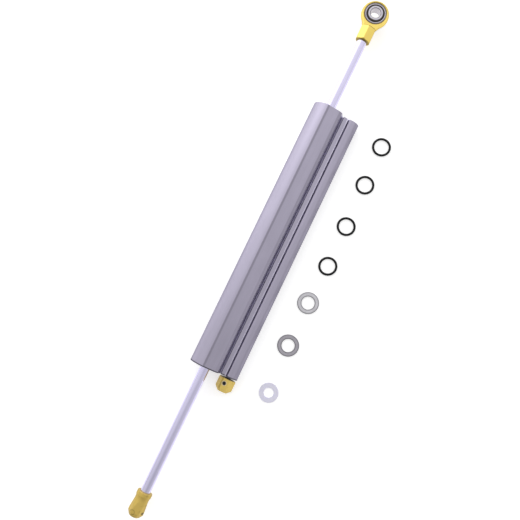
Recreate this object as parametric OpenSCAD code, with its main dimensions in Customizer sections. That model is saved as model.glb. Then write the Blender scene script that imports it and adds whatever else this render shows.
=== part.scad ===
// Motorcycle steering damper: a through rod in a twin barrel body, with a click adjuster.
// X runs along the piston rod towards the eye, Y to the side and Z up. The origin is on the
// rod axis at the middle of the body. The damper lies on both of its barrels.

/* [Barrel body] */
// Length of the twin barrel body
body_l = 224; // [200:1:250]
// Outer radius of the main barrel
barrel_r = 13; // [12.6:0.1:14]
// Radius of the main bore
bore_r = 8.5; // [8:0.1:8.8]
// Radius of the two end pockets that hold the rod guides
pocket_r = 9.3; // [9.1:0.1:9.8]
// Outer radius of the small side barrel
side_r = 7; // [6.7:0.1:7.6]
// Space between the two barrels, where the web joins them
web_w = 0.2; // [0:0.1:2]
// Thickness of the web
web_t = 4.4; // [3:0.1:6]
// Angle where the round back meets the wide flat
crease_a = 114; // [106:1:120]
// Angle where the wide flat meets the narrow flat
flat_a = 70; // [66:1:82]
// Angle where the narrow flat drops into the notch
notch_a = 52; // [48:1:60]
// How deep the upper wide flat is sunk
panel_sunk = 0.7; // [0.2:0.1:1]
// Length of the cove between the crease and the sunk flat
panel_cove = 3.4; // [2:0.1:5]
// Narrow land left between the crease and the cove
panel_land = 0.25; // [0.15:0.05:0.6]
// Width of the facets that break the edge between the two upper flats
panel_break = 0.9; // [0.3:0.1:1.2]
// Width of the notch floor
notch_w = 0.3; // [0.2:0.1:1.8]
// Width of the rib between the notch and the slot
rib_w = 3.7; // [1.8:0.1:4.2]
// Height of the rib above the line between the barrel axes
rib_h = 5.2; // [4.8:0.1:5.6]
// Width of the thin slot beside the rib
slot_w = 1.2; // [0.8:0.1:1.6]
// Depth of the thin slot below the top of the rib
slot_d = 1.5; // [0.6:0.1:1.8]
// Angle on the side barrel where the thin slot begins
slot_a = 115; // [112:1:128]

/* [Piston rod] */
// Radius of the piston rod
rod_r = 4; // [3.6:0.1:4.4]
// Length of rod that shows between the body and the rod end
upper_out = 62.5; // [40:0.5:80]
// Length of rod that shows between the body and the end cap
lower_out = 104.5; // [80:0.5:120]
// Radius of the threaded spigot at each end of the rod
spigot_r = 3; // [2.6:0.1:3.2]
// Length of the threaded spigot at each end of the rod
spigot_l = 10; // [8:0.5:12]

/* [Rod guides] */
// Length of the plain bush in each guide
bush_l = 9; // [6:0.5:12]
// Wall of the plain bush
bush_wall = 1; // [0.6:0.1:1.4]
// Length of the rod seal
seal_l = 4.2; // [3:0.1:5]
// Radial depth of the rod seal
seal_h = 2.6; // [2:0.1:3]
// Length of the rod wiper
wiper_l = 3.6; // [3:0.1:5]
// Radial depth of the rod wiper
wiper_h = 3; // [2.4:0.1:3.4]
// Thickness of the walls between the pockets of a guide
guide_land = 1.4; // [1:0.1:2]
// Thickness of each retaining ring
clip_t = 1.2; // [1:0.1:1.5]
// How deep a retaining ring sits in its groove
clip_d = 0.6; // [0.4:0.1:0.7]
// Wall left between the retaining ring and the end of the body
end_lip = 1.7; // [1.2:0.1:3]
// Section radius of the static seal rings in the main barrel
seal_ring_r = 0.7; // [0.5:0.05:0.8]

/* [Piston] */
// Length of the piston
piston_l = 14; // [11:0.5:20]
// Length of the piston's glide ring
ring_l = 5; // [4:0.5:7]
// Thickness of the piston's glide ring
ring_t = 0.9; // [0.7:0.1:1.2]
// Thickness of the shim discs on the piston
shim_t = 0.4; // [0.3:0.1:0.6]
// Radius of the oil holes through the piston
hole_r = 0.8; // [0.5:0.1:0.9]
// Number of oil holes through the piston
hole_n = 6; // [3:1:8]
// Thickness of the rings that hold the piston on the rod
rod_clip_t = 1; // [0.8:0.1:1.4]

/* [Rod end] */
// Outer radius of the eye
eye_r = 11.3; // [11:0.1:13]
// Thickness of the eye
eye_t = 8; // [7:0.1:9]
// How much smaller the eye is at its faces than at its crowned middle
eye_crown = 1.3; // [0.6:0.1:2]
// Distance from the eye's centre to the step where the hexagon starts
neck_l = 12.2; // [11.9:0.1:15]
// Width of the neck at that step
neck_w = 11.6; // [10.8:0.1:13]
// Length of the hexagon shank
shank_l = 12.3; // [11.5:0.1:18]
// Width of the hexagon shank across its flats
shank_w = 11.4; // [10:0.1:12]
// Outer radius of the bearing race
race_r = 9; // [8.8:0.1:9.6]
// Width of the bearing race
race_w = 7.2; // [6.4:0.1:7.8]
// Radius of the bearing ball
ball_r = 7.3; // [7.1:0.1:7.5]
// Width of the bearing ball
ball_w = 9; // [8:0.1:9.6]
// Radius of the bolt hole in the ball
eye_bore_r = 4; // [3:0.1:4.2]
// Thickness of the bearing liner
liner_t = 0.7; // [0.5:0.1:0.8]
// Width of the bearing liner
liner_w = 8.4; // [4:0.1:8.8]

/* [End cap] */
// Length of the end cap
cap_l = 19.9; // [18:0.1:26]
// Radius of the cap's collar
cap_collar_r = 6; // [5.2:0.1:6.6]
// Length of the cap's collar
cap_collar_l = 3.4; // [1:0.1:4]
// Radius of the cap's waist
cap_waist_r = 5.55; // [4.6:0.05:5.7]
// Width of the cap's hexagon across its flats
cap_hex_w = 11; // [10:0.1:12]
// Length of the cap's hexagon
cap_hex_l = 9.6; // [4:0.1:11]
// Length over which the hexagon grows out of the waist
cap_blend_l = 7; // [1:0.1:9]
// Length of the cap's tapered tip
cap_tip_l = 3.2; // [2:0.1:5]
// Radius of the flat point of the tip
cap_point_r = 3.9; // [1.6:0.1:4.2]

/* [Adjuster] */
// Width of the knob across its flats
knob_w = 12; // [10.8:0.1:12.1]
// Length of the knob
knob_l = 11; // [9:0.1:15]
// Length of the knob's end chamfer
knob_bevel = 3; // [1:0.1:3.4]
// Gap between the knob and the body
knob_gap = 1.4; // [1:0.1:1.6]
// Turn of the knob from a level flat, as it was left
knob_turn = 8; // [0:1:59]
// Radius of the set screw that locks the knob
lock_r = 1.5; // [1:0.1:1.7]
// Distance of the set screw from the knob's inner face
lock_x = 4; // [3:0.1:5]
// Depth of the set screw's head below the flat
lock_sunk = 1; // [0.4:0.1:1.6]
// Radius of the adjuster spindle
spindle_r = 2.2; // [1.8:0.1:2.3]
// Outer radius of the valve sleeve, and of the pocket that holds it
sleeve_r = 4.7; // [4.5:0.05:4.8]
// Length of the valve seat
seat_l = 4; // [3:0.5:6]
// Radius of the hole in the valve seat
seat_hole_r = 1.1; // [0.8:0.05:1.3]
// Radius of the needle's guided body
needle_r = 3; // [2.8:0.1:3.2]
// Length of the needle's guided body
needle_l = 8; // [6:0.5:9]
// Radius of the detent ball
click_ball_r = 0.8; // [0.7:0.05:0.85]
// Number of click recesses in the knob
click_n = 12; // [8:1:12]

/* [Side channel] */
// Radius of the bypass channel in the side barrel
channel_r = 3.5; // [3:0.1:4]
// Radius of the cross ports between the two barrels
port_r = 1.5; // [1:0.1:1.8]
// Distance from each guide's inner face to its cross port
port_in = 4; // [4:0.5:8]
// Length of the channel's end plug
plug_l = 11; // [8:0.5:14]
// Depth of the end plug below the end of the body
plug_sunk = 1; // [0.5:0.5:2]
// Length of the foam insert that takes up the oil's expansion
foam_l = 11; // [6:0.5:13]
// Length of the plugs that close the ports' drillings
port_plug_l = 2.6; // [2:0.1:3]

/* [Loose set] */
// Distance of the row of loose rings from the rod axis
loose_y = 52; // [45:1:70]
// Outer radius of the loose O-rings
o_ring_r = 7.7; // [6:0.1:9]
// Section radius of the loose O-rings
o_ring_thick_r = 0.95; // [0.7:0.05:1.3]
// Outer radius of the loose steel washers
washer_r = 8.7; // [7:0.1:10]
// Hole radius of the loose steel washers
washer_hole_r = 5.2; // [4:0.1:5.6]
// Thickness of the loose washers
washer_t = 1.6; // [1:0.1:2.4]
// Outer radius of the loose nylon washer
nylon_r = 7.8; // [7:0.1:9]
// Hole radius of the loose nylon washer
nylon_hole_r = 3.9; // [3:0.1:5]

/* [Hidden] */
$fn = 96;

// Running clearance between the rod or its pieces and what guides them
run_gap = 0.04;
// Clearance round the spherical bearing surfaces
ball_gap = 0.1;
// Clearance between pieces that are seated in each other
seat_gap = 0.01;
// Free space where nothing has to touch
free_gap = 0.3;
// Extra length of a cutting shape past the face that it cuts
cut = 1;

// The two barrel axes and the tilt of the body as it lies on both barrels
axis_gap = barrel_r + side_r + web_w;
body_tilt = asin((barrel_r - side_r) / axis_gap);
side_y = -axis_gap * cos(body_tilt);
side_z = -axis_gap * sin(body_tilt);
floor_z = -barrel_r;
body_end = body_l / 2;

// The slot and the rib follow the side barrel, and the notch follows the rib
slot_x1 = axis_gap + side_r * cos(slot_a);
slot_x0 = slot_x1 - slot_w;
slot_floor_w = 0.2;
rib_x0 = slot_x0 - rib_w;
notch_x0 = rib_x0 - notch_w;

// A guide's length is the sum of what it holds
clip_slot = clip_t + 0.1;
bush_in = 1;
seal_in = bush_in + bush_l + guide_land;
wiper_in = seal_in + seal_l + guide_land;
guide_l = wiper_in + wiper_l;
guide_ring_in = 4;
guide_x = body_end - end_lip - clip_slot - guide_l;
seal_ring_slot = 2 * seal_ring_r + 0.5;

// The rod's shoulders carry the rod end and the end cap, and its middle the piston
upper_x = body_end + upper_out;
lower_x = -body_end - lower_out;
piston_x = (upper_out - lower_out) / 2;
piston_r = bore_r - 2 * run_gap;
ring_r = bore_r - run_gap;
groove_r = ring_r - ring_t - 1.2;
rod_clip_r = rod_r - 0.4;
rod_clip_slot = rod_clip_t + 0.1;
rod_clip_x = piston_l / 2 + shim_t + seat_gap;

// The eye stands off the rod's shoulder by its shank and neck
eye_x = upper_x + shank_l + neck_l;
liner_r = ball_r + ball_gap + liner_t;
race_ball_r = liner_r + ball_gap;

// Seal ring grooves of the pieces in the side barrel
side_groove_w = 1.3;
side_groove_d = 0.9;
side_ring_r = side_groove_d / 2 - seat_gap;

// Cross ports, one near each guide
upper_port_x = guide_x - port_in;
lower_port_x = -upper_port_x;
port_space = 4;
plug_x = body_end - plug_sunk - plug_l;
plug_ring_x = plug_x + 3;
port_plug_sunk = 0.3;
foam_x = plug_x - foam_l;

// The adjuster is stacked along the side barrel from the body's lower end
lower_end = -body_end;
knob_x = lower_end - knob_gap;
knob_corner_r = knob_w / 2 / cos(30);
knob_hole_l = 7.6;
sleeve_end = lower_port_x - port_space / 2;
sleeve_ring_x = lower_end + 14;
seat_x = lower_port_x + port_space / 2;
spindle_seat_x = lower_end + 6;
spindle_ring_x = lower_end + 3;
spindle_groove_w = 1.2;
spindle_groove_d = 0.7;
spindle_ring_r = spindle_groove_d / 2 - seat_gap;
collar_l = 2;
collar_r = needle_r;
needle_space = 4;
needle_x = spindle_seat_x + collar_l + needle_space;
tongue_l = 7.5;
tongue_t = 1.2;
tongue_w = 4;
needle_slot_l = 6;
stem_r = 1.4;
tip_l = 4.5;
tip_point_r = 0.3;
tip_x = seat_x - 3;
click_ring_r = 3.45;
click_ball_x = knob_x + click_ball_r + 0.1;
click_pocket_l = 5;
click_pocket_r = click_ball_r + 0.05;

// Where the loose pieces were laid: the place along the row, and how far off its line
o_ring_at = [[106.3, 1.5], [72.3, 0.5], [35.3, -0.1], [0.1, -0.4]];
washer_at = [[-33.2, 1.3], [-70.3, 1.2]];
nylon_at = [-110.1, -0.8];

// Colours of the finishes
titanium = [0.62, 0.59, 0.66];
gold = [0.90, 0.70, 0.22];
chrome = [0.82, 0.83, 0.88];
steel = [0.60, 0.61, 0.63];
dark_steel = [0.30, 0.30, 0.32];
black_rubber = [0.07, 0.07, 0.08];
bronze = [0.65, 0.48, 0.30];
ptfe = [0.86, 0.85, 0.80];
nylon = [0.90, 0.89, 0.86];
foam_grey = [0.35, 0.36, 0.38];

// Cylinder along X from x0 to x1
module bar_x(x0, x1, r) {
    translate([x0, 0, 0])
        rotate([0, 90, 0])
            cylinder(h = x1 - x0, r = r);
}

// Body of revolution about X from points that give a place along X and a radius
module turned_x(points) {
    rotate([0, 90, 0])
        rotate_extrude()
            polygon([for (p = points) [p[1], p[0]]]);
}

// Hexagon bar along X with a flat facing up
module hex_x(x0, x1, across) {
    translate([x0, 0, 0])
        rotate([90, 0, 0])
            rotate([0, 90, 0])
                cylinder(h = x1 - x0, r = across / 2 / cos(30), $fn = 6);
}

// Seal ring round X
module ring_x(x, mid_r, thick_r) {
    translate([x, 0, 0])
        rotate([0, 90, 0])
            rotate_extrude()
                translate([mid_r, 0])
                    circle(r = thick_r);
}

// Moves to the axis of the side barrel
module on_side_axis() {
    translate([0, side_y, side_z])
        children();
}

// Lays a drawing of the body's cross-section across X and runs it towards minus X
module along_body(x_top, length) {
    translate([x_top, 0, 0])
        rotate([90 + body_tilt, 0, 0])
            rotate([0, -90, 0])
                linear_extrude(height = length)
                    children();
}

// Thin slot with a straight wall beside the rib and a slanting wall on the side barrel
module slot_cut() {
    reach = 1.3;
    foot = [slot_x0 + slot_floor_w, rib_h - slot_d];
    brow = [slot_x1, side_r * sin(slot_a)];
    past = foot + reach * (brow - foot);
    polygon([[slot_x0, barrel_r], [slot_x0, foot[1]], foot, past, [past[0], barrel_r]]);
}

// Cross-section of the twin barrel extrusion, with the side barrel along its first axis.
// The upper wide flat is sunk, and beyond a narrow land at the crease a cove of one radius
// leads down to it. The cove dips a hair below the sunk flat, so that the two cross.
module body_section() {
    rim = 1.3;
    cove_dip = 0.01;
    function on_barrel(a, k) = k * barrel_r * [cos(a), sin(a)];
    crease = on_barrel(crease_a, 1);
    chord = on_barrel(flat_a, 1) - crease;
    panel_run = chord / norm(chord);
    panel_out = [-panel_run[1], panel_run[0]];
    function on_panel(d, h) = crease + d * panel_run + h * panel_out;
    cove_r = (pow(panel_cove, 2) + pow(panel_sunk, 2)) / (2 * panel_sunk);
    sunk_edge = on_barrel(flat_a, 1) - panel_sunk * panel_out;
    fall = on_barrel(notch_a, 1) - sunk_edge;
    difference() {
        union() {
            circle(r = barrel_r);
            translate([axis_gap, 0])
                circle(r = side_r);
            translate([0, -rib_h])
                square([slot_x0, 2 * rib_h]);
            translate([0, -web_t / 2])
                square([axis_gap, web_t]);
        }
        for (side = [0, 1])
            mirror([0, side]) {
                polygon([
                    on_barrel(crease_a, 1), on_barrel(crease_a, rim),
                    on_barrel(flat_a, rim), on_barrel(flat_a, 1)
                ]);
                polygon([
                    on_barrel(flat_a, 1), on_barrel(flat_a, rim),
                    on_barrel(notch_a, rim), on_barrel(notch_a, 1)
                ]);
                polygon([
                    on_barrel(notch_a, 1), [notch_x0, web_t / 2], [rib_x0, web_t / 2],
                    [rib_x0, rim * barrel_r], [on_barrel(notch_a, 1)[0], rim * barrel_r]
                ]);
                slot_cut();
            }
        translate(on_panel(panel_land + panel_cove, cove_r - panel_sunk - cove_dip))
            circle(r = cove_r);
        polygon([
            on_panel(panel_land + panel_cove, -panel_sunk), sunk_edge - panel_break * panel_run,
            sunk_edge + panel_break * fall / norm(fall), on_barrel(notch_a, 1),
            on_barrel(notch_a, rim), on_barrel(flat_a, rim), on_panel(panel_land + panel_cove, side_r)
        ]);
    }
}

// Cross drilling from the side barrel's outer face into the main bore
module port_drilling(x) {
    translate([x, 0, 0])
        rotate([90 + body_tilt, 0, 0])
            rotate([0, -90, 0])
                translate([bore_r - cut, 0, 0])
                    rotate([0, 90, 0])
                        cylinder(h = axis_gap + side_r - bore_r + 2 * cut, r = port_r);
}

module barrel_body() {
    color(titanium)
        difference() {
            along_body(body_end, body_l) body_section();
            bar_x(-body_end - cut, body_end + cut, bore_r);
            for (side = [0, 1])
                mirror([side, 0, 0]) {
                    bar_x(guide_x, body_end + cut, pocket_r);
                    bar_x(guide_x + guide_l, guide_x + guide_l + clip_slot, pocket_r + clip_d);
                }
            on_side_axis() {
                bar_x(lower_end - cut, body_end + cut, channel_r);
                bar_x(lower_end - cut, seat_x + seat_l, sleeve_r);
                bar_x(plug_x, body_end + cut, sleeve_r);
            }
            port_drilling(lower_port_x);
            port_drilling(upper_port_x);
        }
}

// Guide in the upper end pocket: bush, seal and wiper pockets inside, a seal ring groove outside
module rod_guide() {
    hole_r_in = rod_r + free_gap;
    out_r = pocket_r - seat_gap;
    ring_x0 = guide_x + guide_ring_in;
    turned_x([
        [guide_x, hole_r_in],
        [guide_x, out_r],
        [ring_x0, out_r],
        [ring_x0, pocket_r - 2 * seal_ring_r],
        [ring_x0 + seal_ring_slot, pocket_r - 2 * seal_ring_r],
        [ring_x0 + seal_ring_slot, out_r],
        [guide_x + guide_l, out_r],
        [guide_x + guide_l, rod_r + wiper_h],
        [guide_x + wiper_in, rod_r + wiper_h],
        [guide_x + wiper_in, hole_r_in],
        [guide_x + seal_in + seal_l, hole_r_in],
        [guide_x + seal_in + seal_l, rod_r + seal_h],
        [guide_x + seal_in, rod_r + seal_h],
        [guide_x + seal_in, hole_r_in],
        [guide_x + bush_in + bush_l, hole_r_in],
        [guide_x + bush_in + bush_l, rod_r + bush_wall],
        [guide_x + bush_in, rod_r + bush_wall],
        [guide_x + bush_in, hole_r_in]
    ]);
}

// Split plain bush that the rod runs in
module rod_bush() {
    turned_x([
        [guide_x + bush_in + seat_gap, rod_r + run_gap],
        [guide_x + bush_in + bush_l - seat_gap, rod_r + run_gap],
        [guide_x + bush_in + bush_l - seat_gap, rod_r + bush_wall - seat_gap],
        [guide_x + bush_in + seat_gap, rod_r + bush_wall - seat_gap]
    ]);
}

// U-shaped lip seal, open towards the oil
module rod_seal() {
    x0 = guide_x + seal_in + seat_gap;
    x1 = guide_x + seal_in + seal_l - seat_gap;
    in_r = rod_r + run_gap;
    out_r = rod_r + seal_h - seat_gap;
    mid_r = (in_r + out_r) / 2;
    turned_x([
        [x0, in_r], [x1, in_r], [x1, out_r], [x0, out_r],
        [x0, mid_r + 0.7], [x0 + seal_l * 0.5, mid_r + 0.2],
        [x0 + seal_l * 0.5, mid_r - 0.2], [x0, mid_r - 0.7]
    ]);
}

// Wiper with a lip that stands a little out of the guide
module rod_wiper() {
    x0 = guide_x + wiper_in + seat_gap;
    x1 = guide_x + guide_l;
    in_r = rod_r + run_gap;
    out_r = rod_r + wiper_h - seat_gap;
    turned_x([
        [x0, in_r + 0.4], [x0, out_r], [x1, out_r], [x1, in_r + 1.5],
        [x1 - 1, in_r + 0.9], [x1 + 0.8, in_r + 0.4], [x1 + 0.8, in_r], [x1 - 1.2, in_r]
    ]);
}

module guide_o_ring() {
    ring_x(guide_x + guide_ring_in + seal_ring_slot / 2, pocket_r - seal_ring_r,
        seal_ring_r - seat_gap);
}

// Internal retaining ring with two eyelets
module circlip() {
    band = 1.5;
    opening = 46;
    eyelet_r = 1.25;
    pin_hole_r = 0.6;
    out_r = pocket_r + clip_d - seat_gap;
    eye_mid_r = out_r - clip_d - eyelet_r - 0.15;
    x0 = guide_x + guide_l + 0.05;
    translate([x0, 0, 0])
        rotate([0, 90, 0])
            difference() {
                union() {
                    rotate([0, 0, 90 + opening / 2])
                        rotate_extrude(angle = 360 - opening)
                            translate([out_r - band, 0])
                                square([band, clip_t]);
                    for (side = [-1, 1])
                        rotate([0, 0, 90 + side * opening / 2])
                            translate([eye_mid_r, 0, 0])
                                cylinder(h = clip_t, r = eyelet_r);
                }
                for (side = [-1, 1])
                    rotate([0, 0, 90 + side * opening / 2])
                        translate([eye_mid_r, 0, -cut])
                            cylinder(h = clip_t + 2 * cut, r = pin_hole_r);
            }
}

module upper_rod_guide() { color(steel) rod_guide(); }
module lower_rod_guide() { color(steel) mirror([1, 0, 0]) rod_guide(); }
module upper_rod_bush() { color(bronze) rod_bush(); }
module lower_rod_bush() { color(bronze) mirror([1, 0, 0]) rod_bush(); }
module upper_rod_seal() { color(black_rubber) rod_seal(); }
module lower_rod_seal() { color(black_rubber) mirror([1, 0, 0]) rod_seal(); }
module upper_wiper() { color(black_rubber) rod_wiper(); }
module lower_wiper() { color(black_rubber) mirror([1, 0, 0]) rod_wiper(); }
module upper_guide_o_ring() { color(black_rubber) guide_o_ring(); }
module lower_guide_o_ring() { color(black_rubber) mirror([1, 0, 0]) guide_o_ring(); }
module upper_circlip() { color(dark_steel) circlip(); }
module lower_circlip() { color(dark_steel) mirror([1, 0, 0]) circlip(); }

// Through rod of one diameter, with a spigot at each end and two grooves for the piston
module piston_rod() {
    bevel = 0.5;
    near = rod_clip_x;
    far = rod_clip_x + rod_clip_slot;
    color(chrome)
        turned_x([
            [lower_x - spigot_l, 0],
            [lower_x - spigot_l, spigot_r - bevel],
            [lower_x - spigot_l + bevel, spigot_r],
            [lower_x, spigot_r],
            [lower_x, rod_r],
            [piston_x - far, rod_r],
            [piston_x - far, rod_clip_r],
            [piston_x - near, rod_clip_r],
            [piston_x - near, rod_r],
            [piston_x + near, rod_r],
            [piston_x + near, rod_clip_r],
            [piston_x + far, rod_clip_r],
            [piston_x + far, rod_r],
            [upper_x, rod_r],
            [upper_x, spigot_r],
            [upper_x + spigot_l - bevel, spigot_r],
            [upper_x + spigot_l, spigot_r - bevel],
            [upper_x + spigot_l, 0]
        ]);
}

module piston() {
    bevel = 0.6;
    end = piston_l / 2;
    hole_ring_r = (rod_r + groove_r) / 2;
    color(bronze)
        translate([piston_x, 0, 0])
            difference() {
                turned_x([
                    [-end, rod_r + seat_gap],
                    [-end, piston_r - bevel],
                    [-end + bevel, piston_r],
                    [-ring_l / 2, piston_r],
                    [-ring_l / 2, groove_r],
                    [ring_l / 2, groove_r],
                    [ring_l / 2, piston_r],
                    [end - bevel, piston_r],
                    [end, piston_r - bevel],
                    [end, rod_r + seat_gap]
                ]);
                for (i = [0 : hole_n - 1])
                    rotate([i * 360 / hole_n, 0, 0])
                        translate([0, 0, hole_ring_r])
                            bar_x(-end - cut, end + cut, hole_r);
            }
}

// Glide ring that bears on the barrel while the piston can turn inside it
module piston_glide_ring() {
    color(ptfe)
        translate([piston_x, 0, 0])
            difference() {
                bar_x(-ring_l / 2 + run_gap, ring_l / 2 - run_gap, ring_r);
                bar_x(-ring_l, ring_l, ring_r - ring_t);
            }
}

// Ring under the glide ring that presses it outwards
module piston_o_ring() {
    thick_r = (ring_r - ring_t - groove_r) / 2 - run_gap / 2;
    color(black_rubber)
        ring_x(piston_x, groove_r + thick_r, thick_r);
}

// One disc on each side of the piston
module piston_shims() {
    color(steel)
        translate([piston_x, 0, 0])
            for (side = [0, 1])
                mirror([side, 0, 0])
                    difference() {
                        bar_x(piston_l / 2, piston_l / 2 + shim_t, piston_r - 1.4);
                        bar_x(0, piston_l, rod_r + seat_gap);
                    }
}

// One open ring in each groove of the rod
module piston_circlips() {
    opening = 70;
    band = 1.6;
    color(dark_steel)
        translate([piston_x, 0, 0])
            for (side = [0, 1])
                mirror([side, 0, 0])
                    translate([rod_clip_x + 0.02, 0, 0])
                        rotate([0, 90, 0])
                            rotate([0, 0, opening / 2])
                                rotate_extrude(angle = 360 - opening)
                                    translate([rod_clip_r + seat_gap, 0])
                                        square([band, rod_clip_t]);
}

// Eye with a crowned rim, conical neck with two flats, and hexagon shank with an edge up
module rod_end() {
    bevel = 0.7;
    shank_corner_r = shank_w / 2 / cos(30);
    half_t = eye_t / 2;
    crown_r = (pow(half_t, 2) + pow(eye_crown, 2)) / (2 * eye_crown);
    // The neck's cone ends inside the eye, where its flats meet the edge of the eye's face
    neck_in = eye_r / 2;
    neck_end_r = sqrt(pow(eye_r - eye_crown, 2) + pow(half_t, 2) - pow(neck_in, 2));
    color(gold)
        difference() {
            union() {
                translate([eye_x, 0, 0])
                    rotate_extrude()
                        intersection() {
                            translate([0, -half_t])
                                square([eye_r, eye_t]);
                            translate([eye_r - crown_r, 0])
                                circle(r = crown_r);
                        }
                intersection() {
                    turned_x([
                        [eye_x - neck_l, 0], [eye_x - neck_l, neck_w / 2],
                        [eye_x - neck_in, neck_end_r], [eye_x - neck_in, 0]
                    ]);
                    translate([eye_x - neck_l, -eye_r, -half_t])
                        cube([neck_l, 2 * eye_r, eye_t]);
                }
                intersection() {
                    rotate([90, 0, 0])
                        hex_x(upper_x, upper_x + shank_l, shank_w);
                    turned_x([
                        [upper_x, 0],
                        [upper_x, shank_corner_r - 1.2],
                        [upper_x + 1, shank_corner_r - 0.2],
                        [upper_x + shank_l - 0.6, shank_corner_r - 0.2],
                        [upper_x + shank_l, shank_corner_r - 0.8],
                        [upper_x + shank_l, 0]
                    ]);
                }
            }
            translate([eye_x, 0, 0])
                rotate_extrude()
                    polygon([
                        [0, -half_t - cut], [race_r + bevel + cut, -half_t - cut],
                        [race_r, -race_w / 2], [race_r, race_w / 2],
                        [race_r + bevel + cut, half_t + cut], [0, half_t + cut]
                    ]);
            bar_x(upper_x - cut, upper_x + spigot_l + 0.5, spigot_r + seat_gap);
        }
}

module bearing_race() {
    bevel = 0.4;
    out_r = race_r - seat_gap;
    color(steel)
        translate([eye_x, 0, 0])
            difference() {
                rotate_extrude()
                    polygon([
                        [0, -race_w / 2], [out_r - bevel, -race_w / 2],
                        [out_r, -race_w / 2 + bevel], [out_r, race_w / 2 - bevel],
                        [out_r - bevel, race_w / 2], [0, race_w / 2]
                    ]);
                sphere(r = race_ball_r);
            }
}

module bearing_liner() {
    color(black_rubber)
        translate([eye_x, 0, 0])
            difference() {
                intersection() {
                    sphere(r = liner_r);
                    cube([3 * liner_r, 3 * liner_r, liner_w], center = true);
                }
                sphere(r = ball_r + ball_gap);
            }
}

module bearing_ball() {
    mouth = 0.45;
    color(chrome)
        translate([eye_x, 0, 0])
            difference() {
                intersection() {
                    sphere(r = ball_r);
                    cube([3 * ball_r, 3 * ball_r, ball_w], center = true);
                }
                translate([0, 0, -ball_w / 2 - cut])
                    cylinder(h = ball_w + 2 * cut, r = eye_bore_r);
                for (side = [0, 1])
                    mirror([0, 0, side])
                        translate([0, 0, ball_w / 2 - mouth])
                            cylinder(h = 2 * mouth, r1 = eye_bore_r, r2 = eye_bore_r + 2 * mouth);
            }
}

// Collar, drawn-in waist, hexagon and a tapered tip with six faces
module end_cap_nut() {
    steps = 12;
    collar_end = lower_x - cap_collar_l;
    hex_start = lower_x - (cap_l - cap_hex_l - cap_tip_l);
    hex_end = hex_start - cap_hex_l;
    tip_end = lower_x - cap_l;
    hex_in_r = cap_hex_w / 2;
    taper = cap_point_r / hex_in_r;
    turned = 0.7;
    waist_l = collar_end - hex_start;
    // The waist is a half wave that starts and ends at the collar's and the hexagon's radius
    function waist_r(t) =
        cap_collar_r - 0.3 + (hex_in_r - cap_collar_r + 0.3) * t
        - (cap_collar_r - 0.3 - cap_waist_r) * sin(180 * t);
    color(gold)
        difference() {
            union() {
                turned_x(concat(
                    [[lower_x, 0], [lower_x, cap_collar_r - 0.3], [lower_x - 0.3, cap_collar_r],
                        [collar_end + 0.3, cap_collar_r]],
                    [for (i = [0 : steps])
                        [collar_end - waist_l * i / steps, waist_r(i / steps)]],
                    [[hex_end, hex_in_r], [hex_end, 0]]
                ));
                intersection() {
                    union() {
                        hex_x(hex_end, hex_start, cap_hex_w);
                        translate([hex_end, 0, 0])
                            rotate([90, 0, 0])
                                rotate([0, -90, 0])
                                    linear_extrude(height = cap_tip_l, scale = taper)
                                        circle(r = hex_in_r / cos(30), $fn = 6);
                    }
                    turned_x([
                        [tip_end, 0],
                        [tip_end, cap_point_r - 0.4],
                        [tip_end + 0.6, cap_point_r + 0.5],
                        [hex_end, hex_in_r + turned],
                        [hex_start - cap_blend_l, hex_in_r + turned],
                        [hex_start, hex_in_r],
                        [hex_start, 0]
                    ]);
                }
            }
            bar_x(lower_x - spigot_l - 0.5, lower_x + cut, spigot_r + seat_gap);
        }
}

module adjuster_knob() {
    end_r = knob_corner_r - knob_bevel;
    color(gold)
        on_side_axis()
            rotate([-knob_turn, 0, 0])
                difference() {
                    intersection() {
                        hex_x(knob_x - knob_l, knob_x, knob_w);
                        turned_x([
                            [knob_x, 0],
                            [knob_x, knob_corner_r - 0.5],
                            [knob_x - 0.6, knob_corner_r],
                            [knob_x - knob_l + knob_bevel, knob_corner_r],
                            [knob_x - knob_l, end_r],
                            [knob_x - knob_l, 0]
                        ]);
                    }
                    bar_x(knob_x - knob_hole_l, knob_x + cut, spindle_r + seat_gap);
                    translate([knob_x - lock_x, 0, 0])
                        cylinder(h = knob_w, r = lock_r + seat_gap);
                    for (i = [0 : click_n - 1])
                        rotate([i * 360 / click_n + knob_turn, 0, 0])
                            translate([knob_x + 0.5, 0, click_ring_r])
                                sphere(r = click_ball_r);
                }
}

// Socket set screw, sunk below the knob's flat
module knob_set_screw() {
    foot = spindle_r + seat_gap;
    head = knob_w / 2 - lock_sunk;
    socket_r = 0.8;
    color(dark_steel)
        on_side_axis()
            rotate([-knob_turn, 0, 0])
                translate([knob_x - lock_x, 0, foot])
                    difference() {
                        cylinder(h = head - foot, r = lock_r);
                        translate([0, 0, head - foot - 1.6])
                            cylinder(h = 1.6 + cut, r = socket_r, $fn = 6);
                    }
}

// Spindle with a groove for its seal ring, a thrust collar and a tongue that turns the needle
module adjuster_spindle() {
    x_out = knob_x - knob_hole_l + 0.2;
    groove_x0 = spindle_ring_x - spindle_groove_w / 2;
    groove_x1 = spindle_ring_x + spindle_groove_w / 2;
    color(steel)
        on_side_axis()
            rotate([-knob_turn, 0, 0]) {
                turned_x([
                    [x_out, 0],
                    [x_out, spindle_r],
                    [groove_x0, spindle_r],
                    [groove_x0, spindle_r - spindle_groove_d],
                    [groove_x1, spindle_r - spindle_groove_d],
                    [groove_x1, spindle_r],
                    [spindle_seat_x + run_gap, spindle_r],
                    [spindle_seat_x + run_gap, collar_r - run_gap],
                    [spindle_seat_x + collar_l, collar_r - run_gap],
                    [spindle_seat_x + collar_l, 0]
                ]);
                translate([spindle_seat_x + collar_l + tongue_l / 2 - 0.25, 0, 0])
                    cube([tongue_l + 0.5, tongue_w, tongue_t], center = true);
            }
}

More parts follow.
